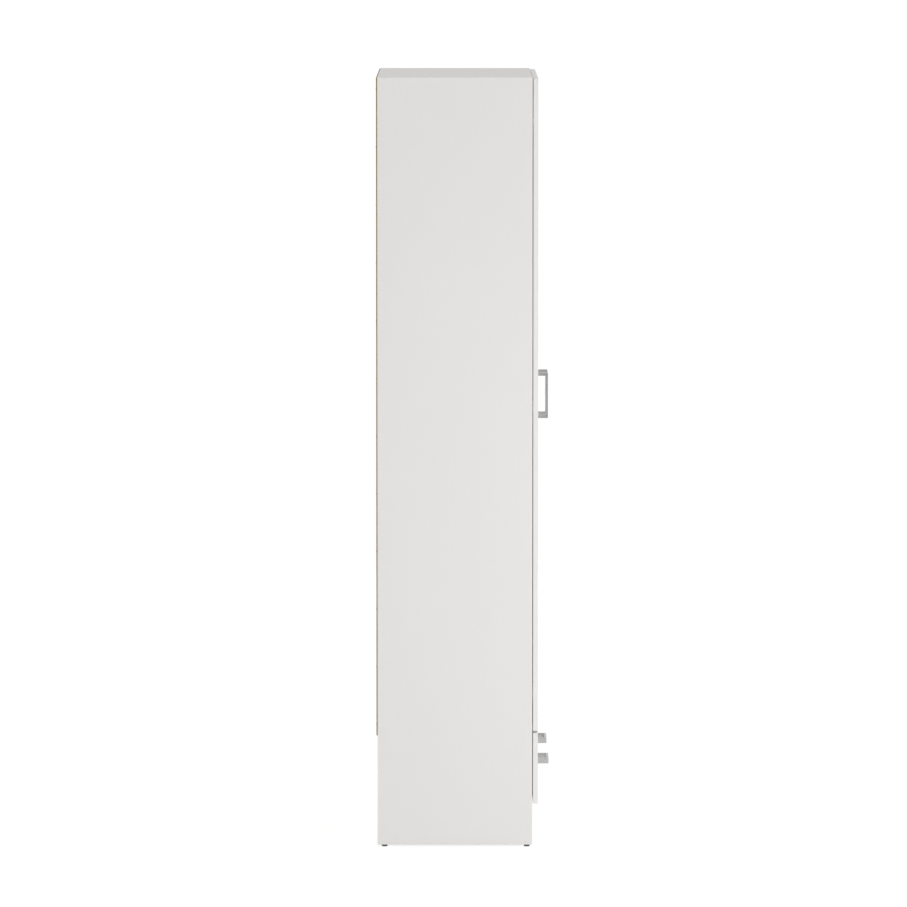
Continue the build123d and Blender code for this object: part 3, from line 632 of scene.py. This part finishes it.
@dataclass(frozen=True)
class Coating:
    """Powder coat or moulded plastic: one even colour with fine orange peel and slight scuffs."""

    colour: Colour
    gloss: float
    peel: Grain
    peel_depth: float
    peel_share: float = 0.6
    peel_gloss: float = 0.04
    cloud: Grain = Grain(28.0, 3.0)
    cloud_tone: Range = (0.965, 1.015)
    scuff_colour: Colour = (0.72, 0.71, 0.69)
    scuff_share: float = 0.25
    scuff_gloss: float = 0.4
    rub: Grain = Grain(260.0, 3.0, 0.7)
    rub_stretch: float = 0.12
    rub_reach: Range = (0.60, 0.74)

    def material(self, name: str) -> bpy.types.Material:
        """Makes the finish.

        Args:
            name: The material's name.

        Returns:
            The material.
        """
        graph = Graph.named(name)
        point = graph.place()
        peel = graph.noise(point, self.peel)
        cloud = graph.noise(point, self.cloud)
        rubs = graph.noise(graph.drawn_out(point, Axis.Y, self.rub_stretch), self.rub)
        worn = graph.scaled(graph.span(rubs, *self.rub_reach), self.scuff_share)
        toned = graph.toned(self.colour, graph.swing(cloud, self.cloud_tone))
        smooth = graph.around(peel, self.gloss, self.peel_gloss)
        graph.set(
            base_color=graph.blend(worn, toned, self.scuff_colour),
            roughness=graph.math("ADD", smooth, graph.scaled(worn, self.scuff_gloss)),
            normal=graph.bump(peel, self.peel_depth, self.peel_share),
        )
        return graph.material


@dataclass(frozen=True)
class Beech:
    """Turned beech of the dowels, with short dark pores along the grain."""

    light: Colour = (0.66, 0.47, 0.29)
    dark: Colour = (0.50, 0.33, 0.19)
    tone_reach: Range = (0.7, 1.25)
    fibre: Grain = Grain(900.0, 4.0, 0.6)
    ring: Grain = Grain(160.0)
    stretch: float = 0.08
    gloss: Range = (0.62, 0.78)
    depth: float = 0.08 * MM
    depth_share: float = 0.6

    def material(self, name: str, grain: Axis) -> bpy.types.Material:
        """Makes the finish.

        Args:
            name: The material's name.
            grain: The way that the fibres run.

        Returns:
            The material.
        """
        graph = Graph.named(name)
        drawn = graph.drawn_out(graph.place(), grain, self.stretch)
        fibre = graph.noise(drawn, self.fibre)
        tone = graph.math("ADD", fibre, graph.noise(drawn, self.ring))
        colour = graph.blend(graph.span(tone, *self.tone_reach), self.dark, self.light)
        relief = graph.bump(fibre, self.depth, self.depth_share)
        graph.set(base_color=colour, roughness=graph.swing(fibre, self.gloss), normal=relief)
        return graph.material


NICKEL = Metal(colour=(0.66, 0.64, 0.61), gloss=0.24, brushing=Axis.Y)
ZINC = Metal(colour=(0.60, 0.60, 0.585), gloss=0.34, cast_depth=0.02 * MM)
CAST_ZINC = Metal(colour=(0.47, 0.47, 0.465), gloss=0.44, cast_depth=0.06 * MM)
CHROME = Metal(colour=(0.74, 0.74, 0.74), gloss=0.09, brushing=Axis.X, brush_depth=0.003 * MM)
RUNNER_COAT = Coating(colour=(0.80, 0.795, 0.775), gloss=0.36, peel=Grain(650.0), peel_depth=0.03 * MM)
WHITE_PLASTIC = Coating(
    colour=(0.80, 0.795, 0.78),
    gloss=0.33,
    peel=Grain(1500.0),
    peel_depth=0.008 * MM,
    scuff_share=0.12,
)
BLACK_PLASTIC = Coating(
    colour=(0.085, 0.085, 0.086),
    gloss=0.46,
    peel=Grain(1300.0),
    peel_depth=0.015 * MM,
    scuff_colour=(0.09, 0.088, 0.085),
    scuff_share=0.3,
)


def satin(brushing: Axis) -> Metal:
    """The satin grey metal of the bow handles.

    Args:
        brushing: The way that the bar runs.

    Returns:
        The finish.
    """
    return Metal(
        colour=(0.6, 0.596, 0.588),
        gloss=0.3,
        brushing=brushing,
        brush_depth=0.003 * MM,
        grazing=WHITE,
    )


def dress(piece: bpy.types.Object, material: bpy.types.Material) -> None:
    """Gives a piece its one material.

    Args:
        piece: The mesh object.
        material: The material that takes every slot.
    """
    if not piece.material_slots:
        piece.data.materials.append(material)
    for slot in piece.material_slots:
        slot.material = material


def node(name: str) -> bpy.types.Object:
    """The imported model's object of that name."""
    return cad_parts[name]


def dress_nodes(finishes: dict[str, bpy.types.Material]) -> int:
    """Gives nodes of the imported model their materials.

    Args:
        finishes: The material of each node, by the node's name.

    Returns:
        The number of nodes.
    """
    for name, material in finishes.items():
        dress(node(name), material)
    return len(finishes)


@dataclass
class Form:
    """A mesh put together from rings of points, each shape set on a place of its own."""

    mesh: bmesh.types.BMesh = field(default_factory=bmesh.new)
    sharp_angle: float = math.radians(35.0)

    def ring(self, place: Matrix, outline: Outline, height: float) -> Ring:
        """Adds one closed ring of points.

        Args:
            place: Where the shape stands, with its Z axis out of the surface.
            outline: The ring's points in the plane of the surface.
            height: The ring's height above the surface.

        Returns:
            The new points.
        """
        return [self.mesh.verts.new(place @ Vector((x, y, height))) for x, y in outline]

    def band(self, first: Ring, second: Ring) -> None:
        """Joins two rings of the same number of points."""
        for i in range(len(first)):
            self.mesh.faces.new((first[i - 1], first[i], second[i], second[i - 1]))

    def cap(self, ring: Ring) -> None:
        """Closes a ring with one face."""
        self.mesh.faces.new(ring)

    def cap_around(self, outer: Ring, inner: Ring) -> None:
        """Fills the flat space between two rings.

        Args:
            outer: The outer ring.
            inner: A smaller ring inside it.
        """
        edges = []
        for ring in (outer, inner):
            for i in range(len(ring)):
                pair = (ring[i - 1], ring[i])
                edges.append(self.mesh.edges.get(pair) or self.mesh.edges.new(pair))
        bmesh.ops.triangle_fill(self.mesh, use_beauty=True, edges=edges)

    def stack(self, place: Matrix, rings: Sequence[tuple[Outline, float]]) -> tuple[Ring, Ring]:
        """Joins rings one above the other.

        Args:
            place: Where the shape stands.
            rings: Outline and height of each ring, from the surface up.

        Returns:
            The first and the last ring.
        """
        made = [self.ring(place, outline, height) for outline, height in rings]
        for lower, upper in zip(made, made[1:]):
            self.band(lower, upper)
        return made[0], made[-1]

    def piece(self, name: str, finish: bpy.types.Material, body: str, slot: str) -> bpy.types.Object:
        """Args:
            name: The piece's name.
            finish: Its material.
            body: The body that it moves with.
            slot: Not used.

        Returns:
            The object.
        """
        bmesh.ops.recalc_face_normals(self.mesh, faces=self.mesh.faces)
        data = bpy.data.meshes.new(name)
        self.mesh.to_mesh(data)
        self.mesh.free()
        data.polygons.foreach_set("use_smooth", [True] * len(data.polygons))
        data.set_sharp_from_angle(angle=self.sharp_angle)
        data.materials.append(finish)
        piece = bpy.data.objects.new(name, data)
        bpy.context.scene.collection.objects.link(piece)
        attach(piece, body)
        return piece


@dataclass(frozen=True)
class Slab:
    """Outline of a pressed or moulded shape: a rectangle with round corners, in metres."""

    length: float
    width: float
    corner: float
    steps: ClassVar[int] = 6
    edge_shares: ClassVar[tuple[float, ...]] = (0.0, 0.5, 1.0)

    def outline(self, inset: float = 0.0) -> Outline:
        """The outline's points.

        Args:
            inset: How far they lie inside the full outline.

        Returns:
            Points in order round the shape.
        """
        points = []
        radius = self.corner - inset
        for quarter in range(4):
            sx = 1 if quarter in (0, 3) else -1
            sy = 1 if quarter in (0, 1) else -1
            centre = (sx * (self.length / 2 - self.corner), sy * (self.width / 2 - self.corner))
            for step in range(self.steps + 1):
                turn = QUARTER_TURN * (quarter + step / self.steps)
                x, y = radius * math.cos(turn), radius * math.sin(turn)
                points.append((centre[0] + x, centre[1] + y))
        return points

    def raise_on(self, form: Form, place: Matrix, height: float, soft: float) -> None:
        """Adds the shape as a raised pad.

        Args:
            form: The mesh that takes it.
            place: Where it stands.
            height: How far it rises.
            soft: Radius of its upper edge.
        """
        rings = [(self.outline(), 0.0)]
        for share in self.edge_shares:
            turn = QUARTER_TURN * share
            outline = self.outline(soft * (1.0 - math.cos(turn)))
            rings.append((outline, height - soft * (1.0 - math.sin(turn))))
        low, high = form.stack(place, rings)
        form.cap(low)
        form.cap(high)


@dataclass(frozen=True)
class ScrewHead:
    """Head of a machine screw with a rounded rim and a cross recess."""

    radius: float = 3.2 * MM
    height: float = 1.5 * MM
    rim: float = 0.5 * MM
    reach: float = 1.9 * MM
    blade: float = 0.7 * MM
    depth: float = 0.9 * MM
    floor_share: float = 0.6
    sides: ClassVar[int] = 32
    rim_shares: ClassVar[tuple[float, ...]] = (0.0, 0.33, 0.67, 1.0)

    def circle(self, radius: float) -> Outline:
        """Points round a circle."""
        turns = [2.0 * math.pi * side / self.sides for side in range(self.sides)]
        return [(radius * math.cos(turn), radius * math.sin(turn)) for turn in turns]

    def cross(self, share: float) -> Outline:
        """Points round the recess.

        Args:
            share: Scale of the recess at this depth.

        Returns:
            Its twelve corners.
        """
        near, far = self.blade / 2 * share, self.reach * share
        corner = [(far, -near), (far, near), (near, near)]
        points = []
        for _ in range(4):
            points += corner
            corner = [(-y, x) for x, y in corner]
        return points

    def seat(self, form: Form, place: Matrix) -> None:
        """Adds the head to a mesh.

        Args:
            form: The mesh that takes it.
            place: The middle of its seat.
        """
        rings = [(self.circle(self.radius), 0.0)]
        for share in self.rim_shares:
            turn = QUARTER_TURN * share
            radius = self.radius - self.rim * (1.0 - math.cos(turn))
            rings.append((self.circle(radius), self.height - self.rim * (1.0 - math.sin(turn))))
        low, high = form.stack(place, rings)
        form.cap(low)
        mouth = form.ring(place, self.cross(1.0), self.height)
        foot = form.ring(place, self.cross(self.floor_share), self.height - self.depth)
        form.cap_around(high, mouth)
        form.band(mouth, foot)
        form.cap(foot)


@dataclass
class Board:
    """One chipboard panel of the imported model, and how its faces are covered."""

    name: str
    grain: Axis
    banded: tuple[Face, ...] = ()
    raw: tuple[Face, ...] = ()

    def covered(self, finish: Melamine) -> dict[str, bpy.types.Material]:
        """Makes the board's covering.

        Args:
            finish: The melamine that it wears.

        Returns:
            Its material, by the name of its node.
        """
        low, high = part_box(self.name)
        name = f"{self.name}_finish"
        return {self.name: finish.material(name, low, high, self.raw, self.banded, self.grain)}


@dataclass
class Carcass:
    """The fixed case: side panels, level boards, divider, plinth and rear rail."""

    finish: Melamine = Melamine()

    def boards(self) -> list[Board]:
        """Lists the boards of the case, each with its banded and its raw faces.

        Returns:
            The boards.
        """
        front = (Face.FRONT,)
        ends = (Face.LEFT, Face.RIGHT)
        level = (Face.BOTTOM, Face.TOP)
        panels = [
            Board(f"{side}_side_panel", Axis.Z, (Face.FRONT, Face.TOP), (Face.REAR, Face.BOTTOM))
            for _, side in SIDES
        ]
        shelves = [
            Board(name, Axis.X, front, (*ends, Face.REAR))
            for name in ("top_panel", "upper_shelf", "compartment_floor", "base_panel")
        ]
        divider = Board("drawer_divider", Axis.Z, front, (Face.REAR, *level))
        plinth = Board("front_plinth", Axis.X, (Face.BOTTOM,), (*ends, Face.TOP))
        rail = Board("rear_rail", Axis.X, (), (*ends, *level))
        return [*panels, *shelves, divider, plinth, rail]

    def build(self) -> int:
        """Covers every board of the case.

        Returns:
            The number of boards.
        """
        return sum(dress_nodes(board.covered(self.finish)) for board in self.boards())


@dataclass
class Back:
    """Two hardboard halves, the extruded strip that joins them, and their nails."""

    sheet: Hardboard = Hardboard()

    def build(self) -> int:
        """Finishes the back.

        Returns:
            The number of nodes.
        """
        finishes = {
            "back_joining_strip": WHITE_PLASTIC.material("joining_strip_finish"),
            "back_panel_nails": ZINC.material("nail_finish"),
        }
        for _, side in SIDES:
            finishes[f"back_panel_{side}"] = self.sheet.material(f"back_{side}_finish", Face.FRONT)
        return dress_nodes(finishes)


@dataclass
class Hardware:
    """Fittings of the case: rail, brackets, cams, dowels, glides, runners and screws."""

    def build(self) -> int:
        """Finishes the fittings.

        Returns:
            The number of nodes.
        """
        return dress_nodes({
            "hanging_rail": CHROME.material("rail_finish"),
            "rail_sockets": CHROME.material("socket_finish"),
            "wall_brackets": ZINC.material("bracket_finish"),
            "cam_locks": CAST_ZINC.material("cam_finish"),
            "cam_bolts": ZINC.material("bolt_finish"),
            "dowels": Beech().material("dowel_finish", Axis.X),
            "floor_glides": BLACK_PLASTIC.material("glide_finish"),
            "cabinet_runners": RUNNER_COAT.material("case_runner_finish"),
            "carcass_screws": ZINC.material("case_screw_finish"),
        })


@dataclass
class Hinges:
    """Cup hinges: plates and arms on the case, cups and pins on the doors.

    Each arm also gets its folded lips, a pressed rib, and the two screws that set it.
    """

    body: str = "carcass"
    slot: str = "hinge_steel"
    count: int = 3
    arm_face: float = 430.1 * MM
    arm_back: float = 432.1 * MM
    side_screw: ScrewHead = ScrewHead(radius=2.9 * MM, height=1.2 * MM, reach=1.7 * MM)
    clamp_screw: ScrewHead = ScrewHead(radius=3.5 * MM, height=1.6 * MM)
    side_screw_y: float = -169.5 * MM
    clamp_screw_y: float = -135.0 * MM
    rib: Slab = Slab(20.0 * MM, 4.4 * MM, 2.1 * MM)
    rib_y: float = -153.0 * MM
    rib_height: float = 0.5 * MM
    lip: Slab = Slab(48.0 * MM, 0.8 * MM, 0.39 * MM)
    lip_y: float = -149.5 * MM
    lip_drop: float = 6.05 * MM
    lip_height: float = 1.2 * MM
    soft: float = 0.35 * MM
    plate_half: float = 24.0 * MM

    def heights(self) -> list[float]:
        """Reads the heights of one side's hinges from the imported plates.

        Returns:
            The heights in metres, from the lowest hinge up.
        """
        low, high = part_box("hinge_plates")
        first, last = low[2] + self.plate_half, high[2] - self.plate_half
        return [first + (last - first) * step / (self.count - 1) for step in range(self.count)]

    def place(self, side: int, across: float, y: float, z: float, inward: bool) -> Matrix:
        """A place on one arm, with its Z axis across the wardrobe.

        Args:
            side: Minus one for the left side, one for the right.
            across: Distance from the wardrobe's middle.
            y: Place along the depth.
            z: Height.
            inward: Whether the Z axis points to the middle.

        Returns:
            The place, with its X axis along the depth.
        """
        out = Vector((-side if inward else side, 0.0, 0.0))
        along = Vector((0.0, 1.0, 0.0))
        turn = Matrix((along, out.cross(along), out)).transposed().to_4x4()
        return Matrix.Translation((side * across, y, z)) @ turn

    def detail(self, side: int) -> Form:
        """Shapes the small parts on one side's arms.

        Args:
            side: Minus one for the left side, one for the right.

        Returns:
            Their mesh.
        """
        form = Form()
        for z in self.heights():
            self.side_screw.seat(form, self.place(side, self.arm_face, self.side_screw_y, z, True))
            self.clamp_screw.seat(form, self.place(side, self.arm_face, self.clamp_screw_y, z, True))
            rib = self.place(side, self.arm_face, self.rib_y, z, True)
            self.rib.raise_on(form, rib, self.rib_height, self.soft)
            for drop in (-self.lip_drop, self.lip_drop):
                lip = self.place(side, self.arm_back, self.lip_y, z + drop, False)
                self.lip.raise_on(form, lip, self.lip_height, self.soft)
        return form

    def build(self) -> int:
        """Finishes the hinges.

        Returns:
            The number of nodes and added pieces.
        """
        steel = NICKEL.material("hinge_finish")
        finishes = {"hinge_plates": steel, "hinge_arms": steel}
        for sign, side in SIDES:
            finishes.update({f"{side}_hinge_cups": steel, f"{side}_hinge_pins": steel})
            self.detail(sign).piece(f"{side}_hinge_arm_details", steel, self.body, self.slot)
        return dress_nodes(finishes) + len(SIDES)


@dataclass
class Door:
    """One door: its panel, its upright bow handle and its screws."""

    side: str
    finish: Melamine = Melamine()

    def build(self) -> int:
        """Finishes the door.

        Returns:
            The number of nodes.
        """
        side = self.side
        finishes = Board(f"{side}_door_panel", Axis.Z, EDGES).covered(self.finish)
        finishes[f"{side}_door_handle"] = satin(Axis.Z).material(f"{side}_door_handle_finish")
        screws = ZINC.material(f"{side}_door_screw_finish")
        for name in ("door_handle_screws", "hinge_cup_screws"):
            finishes[f"{side}_{name}"] = screws
        return dress_nodes(finishes)


@dataclass
class Drawer:
    """One drawer: front, box, bottom, handle, runners and rollers."""

    side: str
    finish: Melamine = Melamine()
    sheet: Hardboard = Hardboard()

    def build(self) -> int:
        """Finishes the drawer.

        Returns:
            The number of nodes.
        """
        side = self.side
        upright = (Face.TOP, Face.BOTTOM)
        screws = ZINC.material(f"{side}_drawer_screw_finish")
        roller = WHITE_PLASTIC.material(f"{side}_roller_finish")
        finishes = {
            f"{side}_drawer_bottom": self.sheet.material(f"{side}_drawer_bottom_finish", Face.TOP),
            f"{side}_drawer_handle": satin(Axis.X).material(f"{side}_drawer_handle_finish"),
            f"{side}_drawer_runners": RUNNER_COAT.material(f"{side}_runner_finish"),
            f"{side}_drawer_dowels": Beech().material(f"{side}_drawer_dowel_finish", Axis.Y),
            f"{side}_drawer_runner_screws": screws,
            f"{side}_drawer_handle_screws": screws,
            f"{side}_front_rollers": roller,
            f"{side}_rear_rollers": roller,
        }
        boards = [
            Board(f"{side}_drawer_front", Axis.X, EDGES),
            Board(f"{side}_drawer_left_side", Axis.Y, upright, (Face.FRONT, Face.REAR)),
            Board(f"{side}_drawer_right_side", Axis.Y, upright, (Face.FRONT, Face.REAR)),
            Board(f"{side}_drawer_back", Axis.X, upright, (Face.LEFT, Face.RIGHT)),
        ]
        for board in boards:
            finishes.update(board.covered(self.finish))
        return dress_nodes(finishes)


@dataclass(frozen=True)
class Softbox:
    """One rectangular lamp that faces the wardrobe."""

    name: str
    place: Point
    size: tuple[float, float]
    power: float
    aim: Point = (0.0, 0.0, 1.0)

    def build(self) -> None:
        """Hangs the lamp, which lights surfaces but shows in no reflection."""
        light = bpy.data.lights.new(self.name, "AREA")
        light.shape = "RECTANGLE"
        light.size, light.size_y = self.size
        light.energy = self.power
        lamp = bpy.data.objects.new(self.name, light)
        lamp.location = self.place
        way = Vector(self.aim) - Vector(self.place)
        lamp.rotation_euler = way.to_track_quat("-Z", "Y").to_euler()
        lamp.visible_camera = False
        lamp.visible_glossy = False
        bpy.context.scene.collection.objects.link(lamp)


@dataclass
class Studio:
    """White floor and surroundings, a grey card, the softboxes and the camera."""

    sky: float = 0.72
    floor_half: float = 300.0
    floor_colour: Colour = (0.80, 0.80, 0.80)
    floor_glow: float = 0.87
    floor_share: float = 0.20
    card_place: Point = (-8.0, 0.0, 1.0)
    card_half: float = 5.0
    card_grey: float = 0.35
    softboxes: tuple[Softbox, ...] = (
        Softbox("left_softbox", (-2.6, -2.9, 0.7), (1.2, 0.8), 45.0, (-0.35, 0.0, 0.6)),
        Softbox("right_softbox", (6.6, -1.8, 1.2), (4.0, 2.2), 110.0),
        Softbox("rear_softbox", (-2.0, 6.6, 1.2), (4.0, 2.2), 110.0),
    )
    camera_place: Point = (-19.61396, 0.0127, 2.54671)
    camera_pitch: float = 4.53653
    camera_yaw: float = 0.03402
    camera_reach: Range = (1.0, 1000.0)
    focal_pixels: float = 7415.73
    picture_width: ClassVar[int] = 907
    sensor: ClassVar[float] = 36.0

    def seen(self, nodes: bpy.types.Nodes, links: bpy.types.NodeLinks) -> Socket:
        """One for rays that see the background: from the camera, or in a reflection or through glass.

        Args:
            nodes: The node tree's nodes.
            links: The node tree's links.

        Returns:
            The share, zero or one.
        """
        path = nodes.new("ShaderNodeLightPath")
        result = path.outputs["Is Camera Ray"]
        for name in ("Is Glossy Ray", "Is Transmission Ray"):
            either = nodes.new("ShaderNodeMath")
            either.operation = "MAXIMUM"
            links.new(result, either.inputs[0])
            links.new(path.outputs[name], either.inputs[1])
            result = either.outputs[0]
        return result

    def surround(self) -> None:
        """Makes the world: even light, and white where it is seen."""
        world = bpy.data.worlds.new("studio")
        bpy.context.scene.world = world
        world.use_nodes = True
        nodes, links = world.node_tree.nodes, world.node_tree.links
        lit = nodes["Background"]
        lit.inputs["Color"].default_value = (*WHITE, 1.0)
        lit.inputs["Strength"].default_value = self.sky
        white = nodes.new("ShaderNodeBackground")
        white.inputs["Strength"].default_value = 1.0
        mix = nodes.new("ShaderNodeMixShader")
        links.new(self.seen(nodes, links), mix.inputs[0])
        links.new(lit.outputs[0], mix.inputs[1])
        links.new(white.outputs[0], mix.inputs[2])
        links.new(mix.outputs[0], nodes["World Output"].inputs["Surface"])

    @staticmethod
    def screen(name: str, corners: Sequence[Point]) -> tuple[bpy.types.Object, Graph]:
        """Makes a flat square of the studio.

        Args:
            name: The square's name.
            corners: Its four corners in order.

        Returns:
            The square and the graph of its material.
        """
        mesh = bpy.data.meshes.new(f"studio_{name}")
        mesh.from_pydata(corners, [], [(0, 1, 2, 3)])
        screen = bpy.data.objects.new(f"studio_{name}", mesh)
        bpy.context.scene.collection.objects.link(screen)
        graph = Graph.named(f"{name}_paint")
        mesh.materials.append(graph.material)
        return screen, graph

    def floor(self) -> None:
        """Lays the floor, which shows white and keeps a faint shadow."""
        half = self.floor_half
        corners = [(-half, -half, 0.0), (half, -half, 0.0), (half, half, 0.0), (-half, half, 0.0)]
        _, graph = self.screen("floor", corners)
        plain = graph.add("BsdfDiffuse", {"Color": self.floor_colour})
        faint = graph.add("BsdfDiffuse", {"Color": (self.floor_share,) * 3})
        glow = graph.add("Emission", {"Color": WHITE, "Strength": self.floor_glow})
        shown = graph.add("AddShader", {0: faint.outputs[0], 1: glow.outputs[0]})
        tree = graph.material.node_tree
        share = self.seen(tree.nodes, tree.links)
        graph.show(graph.add("MixShader", {0: share, 1: plain.outputs[0], 2: shown.outputs[0]}))

    def card(self) -> None:
        """Stands a grey card out on the left, which shows only in reflections."""
        x, y, z = self.card_place
        half = self.card_half
        sides = [(y - half, z - half), (y + half, z - half), (y + half, z + half), (y - half, z + half)]
        card, graph = self.screen("card", [(x, *side) for side in sides])
        card.visible_camera = False
        card.visible_diffuse = False
        card.visible_shadow = False
        graph.show(graph.add("Emission", {"Color": WHITE, "Strength": self.card_grey}))

    def camera(self) -> None:
        """Stands the camera where the photograph was taken, square to the left side."""
        data = bpy.data.cameras.new("camera")
        data.sensor_width = self.sensor
        data.lens = self.focal_pixels * self.sensor / self.picture_width
        data.clip_start, data.clip_end = self.camera_reach
        camera = bpy.data.objects.new("camera", data)
        camera.location = self.camera_place
        turn = Matrix.Rotation(math.radians(self.camera_yaw) - QUARTER_TURN, 4, "Z")
        tilt = Matrix.Rotation(QUARTER_TURN - math.radians(self.camera_pitch), 4, "X")
        camera.rotation_euler = (turn @ tilt).to_euler()
        bpy.context.scene.collection.objects.link(camera)
        bpy.context.scene.camera = camera

    def build(self) -> int:
        """Sets up the whole studio.

        Returns:
            The number of softboxes.
        """
        bpy.context.scene.view_settings.view_transform = "Standard"
        self.surround()
        self.floor()
        self.card()
        self.camera()
        for softbox in self.softboxes:
            softbox.build()
        return len(self.softboxes)


def main() -> None:
    """Builds the studio and dresses the wardrobe, piece by piece."""
    logging.basicConfig(level=logging.INFO, format="%(name)s: %(message)s")
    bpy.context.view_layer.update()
    logger.info("studio: floor, card, camera and %d softboxes", Studio().build())
    logger.info("case: %d boards", Carcass().build())
    logger.info("back: %d nodes", Back().build())
    logger.info("fittings: %d nodes", Hardware().build())
    logger.info("hinges: %d nodes and pieces", Hinges().build())
    for _, side in SIDES:
        logger.info("%s door: %d nodes", side, Door(side).build())
        logger.info("%s drawer: %d nodes", side, Drawer(side).build())


if __name__ == "__main__":
    main()
